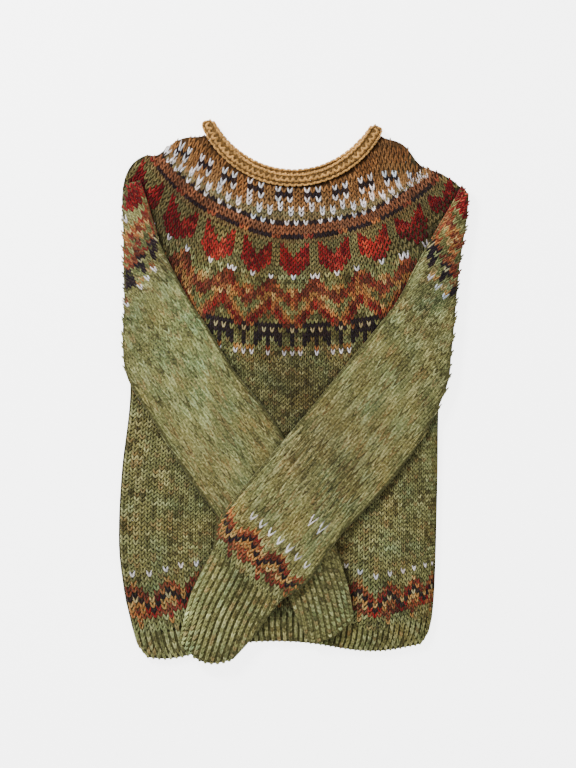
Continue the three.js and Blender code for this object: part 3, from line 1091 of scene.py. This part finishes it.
# Half of the twelve stitch repeat of the lower rings, from the middle of a tree to under a heart
treeRings = [
    "rr.....",
    "rrr....",
    "rrrr.oo",
    "oorrrro",
    "rooorrr",
    "Rroggrr",
    "Rrroggo",
    "grRrogg",
    "ggrRrog",
    "gggrRro",
    "DDDDrrD",
    "DwDggDw",
    "DDDDggD",
    "D.DD..D",
    "D..D..D",
    "r...oo.",
    "W...W.W",
    ".......",
]
neckRowHeight = 5.78
heartRowHeight = 5.63
treeRowHeight = 5.52
dotRowHeight = 5.73
yokeChart = []
for index, letters in enumerate(neckRings):
    yokeChart.append(Ring(251.6 - neckRowHeight * index, letters, 1, 5, -11.75))
for index, letters in enumerate(flowerRings):
    yokeChart.append(Ring(251.6 - neckRowHeight * (index + 3), letters, 0, 6, -16.4))
for index, letters in enumerate(collarRings):
    yokeChart.append(Ring(251.6 - neckRowHeight * (index + 7), letters, 2 if index == 0 else 1, 7, 3.5))
for index, letters in enumerate(heartRings):
    yokeChart.append(Ring(193.8 - heartRowHeight * (index + 1), letters, 3, 9, 0))
for index, half_letters in enumerate(treeRings):
    y = 143.1 - treeRowHeight * (min(index, 10) + 1) - dotRowHeight * max(0, index - 10)
    yokeChart.append(Ring(y, half_letters + half_letters[5:0:-1], 6, 12, -1.5))
greenWool = wool(90, 84, 50)
# Ground colours of the yoke by height. The ground darkens towards the neck, which is painted shade under the
# neck roll.
yokeGrounds = [
    (270, wool(92, 60, 32)),
    (256, wool(116, 78, 42)),
    (243, wool(118, 80, 44)),
    (229, wool(126, 94, 58)),
    (223, wool(100, 92, 62)),
    (214, wool(104, 90, 60)),
    (209, wool(104, 64, 42)),
    (194, wool(104, 64, 42)),
    (186, greenWool),
    (40, greenWool),
]
repeatWidths = [
    (262, 36.5), (240, 36.5), (234, 39.5), (217, 39.5), (211, 41.3), (194, 42),
    (189, 49.4), (166, 49.4), (143, 51.5), (132, 54.8), (82, 60.8), (48, 61.2),
]
# The front isn't laid quite round. At a height, each ring lies this far down from its course, one number
# for each 30 mm from the centre line, and it is stretched by a share that grows with that distance.
layStep = 30
leftDrops = [
    (252, (0, 0, 0.5, 5, 9.8, 17, 25)),
    (228, (0, 0.3, 0.5, 2.8, 4.4, 8, 10)),
    (211, (0, 0, -3, -5, -4.5, -5, -5)),
    (185, (0, -1, -3, -5, -3, -2, -2)),
    (165, (0, 0, 0, 0, 0, 0, 0)),
    (143, (0, 0, -1, -1.5, -1.5, -1.5, -1.5)),
    (105, (0, 0, 0, 0, 0, 0, 0)),
]
rightDrops = [
    (252, (0, 2.3, 7.5, 12.7, 20.5, 34, 48)),
    (228, (0, 2.5, 6.7, 10.5, 14.3, 20, 26)),
    (211, (0, 0, 1.2, 4.6, 5.4, 5.2, 5.5)),
    (185, (0, 0, 0, 0, 1, 1.5, 2)),
    (165, (0, 0, 0, 0, 0, 0, 0)),
    (143, (0, 0, 0.5, 1, 4, 9, 10)),
    (105, (0, 0, 0, 0, 0, 0, 0)),
]
leftStretches = [
    (252, (1.01, 0)), (228, (0.99, 0.00042)), (211, (0.99, 0.0007)), (185, (0.85, 0.0009)),
    (165, (0.885, 0.0009)), (143, (0.96, 0.0007)), (105, (1, 0)),
]
rightStretches = [
    (252, (0.98, 0)), (228, (1, 0.0001)), (211, (1.01, 0.0005)), (185, (1.015, 0)),
    (165, (1.045, 0)), (143, (1.03, 0.0007)), (105, (1, 0)),
]
# Each heart has its own tone of brick, partly the yarn's own tone and partly painted shade. They run from the
# left fold.
heartTonesAndShade = [0.8, 1.25, 0.85, 0.95, 1.0, 1.25, 0.8]
heartTop = 194
heartBottom = 140
tweedTop = 148
groundSpread = 0.25


def between(table, y):
    """The value of a table of heights and numbers or colours at a height."""
    for (high, above), (low, below) in zip(table, table[1:]):
        if y >= low:
            share = min(1, max(0, (high - y) / (high - low)))
            if isinstance(above, tuple):
                return tuple(mix(a, b, share) for a, b in zip(above, below))
            return mix(above, below, share)
    return table[-1][1]


yokeWool = wool_material("Yoke wool, coloured rings", 0.75, 0.15, wool(150, 104, 62), 0.3)
for front in (True, False):
    side = "front" if front else "back"
    neck_line = (frontCourses if front else backCourses)[0].y
    yoke = panel_shell(
        f"yoke_{side}_cloth",
        front,
        neck_line,
        yokeLine + seamLap,
        34,
        44,
        lambda y: shaded(between(yokeGrounds, y)),
        yokeWool,
    )
    made = []
    if front:
        plain_rings = [Ring(251.6 + neckRowHeight * count, ".", 0, 5, 0) for count in (4, 3, 2, 1)]
    else:
        plain_rings = [Ring(neck_line - 4, "W.W..", 1, 5, -5)]
    for ring in plain_rings + yokeChart:
        y = ring.y
        width = between(repeatWidths, y) / ring.perRepeat
        height = neckRowHeight if y > 190 else heartRowHeight

        def yoke_place(step, course):
            """The course and the place across it of a stitch."""
            run = step * width + ring.shift
            share, growth = between(leftStretches if run < 0 else rightStretches, y)
            run *= share + growth * abs(run)
            if front:
                course -= through(between(leftDrops if run < 0 else rightDrops, y), abs(run) / layStep)
            return course, run / half_reach(front, course, "left" if (run < 0) == front else "right")

        for direction in (-1, 1):
            step = 0 if direction > 0 else -1
            while True:
                course, across = yoke_place(step, y)
                reach = half_reach(front, course, "left" if (across < 0) == front else "right")
                if (1 - abs(across)) * reach < width * 0.55:
                    break
                point, wide, up = panel_stitch(front, y, step, height, yoke_place)
                letter = ring.letters[(step + ring.middle) % len(ring.letters)]
                if letter == "." and y > tweedTop:
                    yarn = varied(between(yokeGrounds, y), groundSpread)
                else:
                    yarn = yarn_of(letter)
                # Each heart's brick is scaled by its tone, which is partly the yarn's and partly painted
                # shade
                if letter == "R" and heartBottom < y < heartTop:
                    tone_and_shade = heartTonesAndShade[min(6, max(0, (step + ring.middle) // 9 + 3))]
                    yarn = (yarn[0] * tone_and_shade, yarn[1] * tone_and_shade**2, yarn[2] * tone_and_shade)
                step += direction
                if course > neck_line - 3 or (front and under_a_sleeve(point)):
                    continue
                if front:
                    yarn = beside_sleeves(with_tone_and_painted_light(yarn, point), point)
                made.append((point, wide, up, yarn))
    stitches = knitted(f"yoke_{side}_stitches", made, plainStitch, yokeWool, yarn_sides=4 if front else 3)
    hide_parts(f"yoke_{side}")

# Neck
# The neck edge is a few plain rows of mustard brown wool that roll over by themselves, so their purl
# side shows. Front and back edges are one ring, and each half is a curled roll here.
rollWidth = 15.5
rollHeight = 5
Roll = namedtuple("Roll", "side radius centreY level leftAngle rightAngle")
rolls = [
    Roll("front", 118, 382, 8.1, 1.19, 1.12),
    Roll("back", 124, 394.4, 2.5, 1.08, 1.04),
]
mustard = wool(168, 124, 66)
mustardWool = wool_material("Neck wool, mustard", 0.5, 0.1, wool(190, 150, 96), 0.4)
tipLength = 9
tipFlare = 0.3
# Half of a purl bump, an arch of yarn whose ends dip under the bumps beside it
purlBump = {
    "Foot": (0.0, 1.1, -0.5),
    "Bend": (2.2, 1.4, 0.0),
    "Tip": (3.1, -1.8, -2.4),
    "Yarn radius": 1.35,
}
bumpWidth = 7.6
rowsRound = 6


def on_roll(roll, angle, turn, inset):
    """A point on a roll, at an angle along the neck and a turn round the roll from its outer side."""
    from_tip = max(0, min(angle + roll.leftAngle, roll.rightAngle - angle)) * roll.radius
    tip = math.sqrt(1 - (1 - min(1, from_tip / tipLength)) ** 2 * 0.9)
    flare = 1 + tipFlare * smooth(abs(angle) / roll.rightAngle) if math.cos(turn) < 0 else 1
    reach = roll.radius + (rollWidth / 2 * flare - inset) * tip * math.cos(turn)
    level = roll.level + (rollHeight / 2 - inset) * tip * math.sin(turn)
    return Vector((reach * math.sin(angle), roll.centreY - reach * math.cos(angle), level))


def roll_core(roll, inset):
    """The roll that the purl bumps lie on, closed to a point at each end."""
    steps = 56
    sides = 12
    points = []
    for step in range(steps + 1):
        share = 0.5 - 0.5 * math.cos(step / steps * math.pi)
        angle = mix(-roll.leftAngle, roll.rightAngle, share)
        points.extend(on_roll(roll, angle, turn / sides * 2 * math.pi, inset) * MM for turn in range(sides))
    faces = []
    for step in range(steps):
        for side in range(sides):
            here = step * sides + side
            beside = step * sides + (side + 1) % sides
            faces.append([here, beside, beside + sides, here + sides])
    faces.append(list(range(sides))[::-1])
    faces.append([steps * sides + side for side in range(sides)])
    mesh = bpy.data.meshes.new(f"neck_roll_{roll.side}_core")
    mesh.from_pydata(points, [], faces)
    face_outward(mesh)
    mesh.shade_smooth()
    colours = mesh.attributes.new("yarn", "FLOAT_COLOR", "POINT")
    colours.data.foreach_set("color", [value for _ in points for value in (*shaded(mustard), 1.0)])
    return placed(mesh.name, mesh)


for roll in rolls:
    core = roll_core(roll, 1.7)
    core.data.materials.append(mustardWool)
    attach(core, "root")
    made = []
    bumps = round((roll.leftAngle + roll.rightAngle) * roll.radius / bumpWidth)
    spread = (roll.leftAngle + roll.rightAngle) / bumps
    for row in range(rowsRound):
        turn = (row + 0.5) / rowsRound * 2 * math.pi
        for count in range(bumps):
            angle = -roll.leftAngle + spread * (count + 0.5 + 0.5 * (row % 2))
            if angle + spread / 2 > roll.rightAngle:
                continue
            point = on_roll(roll, angle, turn, 0)
            across = on_roll(roll, angle + spread / 2, turn, 0) - on_roll(roll, angle - spread / 2, turn, 0)
            step = math.pi / rowsRound
            up = on_roll(roll, angle, turn - step, 0) - on_roll(roll, angle, turn + step, 0)
            if across.cross(up).dot(point - on_roll(roll, angle, turn, 2)) < 0:
                across = -across
            made.append((point, across, up, varied(mustard, 0.28)))
    bumps_piece = knitted(f"neck_roll_{roll.side}_bumps", made, purlBump, mustardWool, unevenness=0.12)
    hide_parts(f"neck_roll_{roll.side}")

# Floor, lights and camera
# The jumper lies on a pale floor under soft light from the upper left, seen from straight above.
floorMesh = bpy.data.meshes.new("floor")
floorSize = 3.0
floorLevel = -0.0012
floorSides = ((-1, -1), (1, -1), (1, 1), (-1, 1))
floorMesh.from_pydata([(x * floorSize, y * floorSize, floorLevel) for x, y in floorSides], [], [(0, 1, 2, 3)])
floor = placed("floor", floorMesh)
floorMaterial = bpy.data.materials.new("Pale floor")
floorMaterial.use_nodes = True
floorShader = floorMaterial.node_tree.nodes["Principled BSDF"]
floorShader.inputs["Base Color"].default_value = (0.9, 0.9, 0.9, 1)
floorShader.inputs["Roughness"].default_value = 0.9
floorShader.inputs["Emission Color"].default_value = (1, 1, 1, 1)
floorShader.inputs["Emission Strength"].default_value = 4.0
floorMesh.materials.append(floorMaterial)


def soft_light(name, place, target, size, power):
    lamp = bpy.data.lights.new(name, "AREA")
    lamp.shape = "SQUARE"
    lamp.size = size
    lamp.energy = power
    lit = placed(name, lamp)
    lit.location = place
    lit.rotation_euler = (Vector(target) - Vector(place)).to_track_quat("-Z", "Y").to_euler()


soft_light("key", (-1.3, 1.35, 1.25), (0, 0, 0), 0.55, 84)
soft_light("fill", (1.4, -0.9, 1.9), (0, 0, 0), 1.6, 16)
world = bpy.data.worlds.new("Studio")
world.use_nodes = True
world.node_tree.nodes["Background"].inputs["Color"].default_value = (1, 1, 1, 1)
world.node_tree.nodes["Background"].inputs["Strength"].default_value = 0.85
bpy.context.scene.world = world

viewCentre = (-0.0069, 0.0094)
viewDistance = 3.0
viewHeight = 0.96
clothLevel = 0.006
camera = bpy.data.cameras.new("camera")
camera.sensor_width = 36
camera.lens = 36 * viewDistance / viewHeight
camera.clip_end = 20
eye = placed("camera", camera)
eye.location = (*viewCentre, viewDistance + clothLevel)
bpy.context.scene.camera = eye
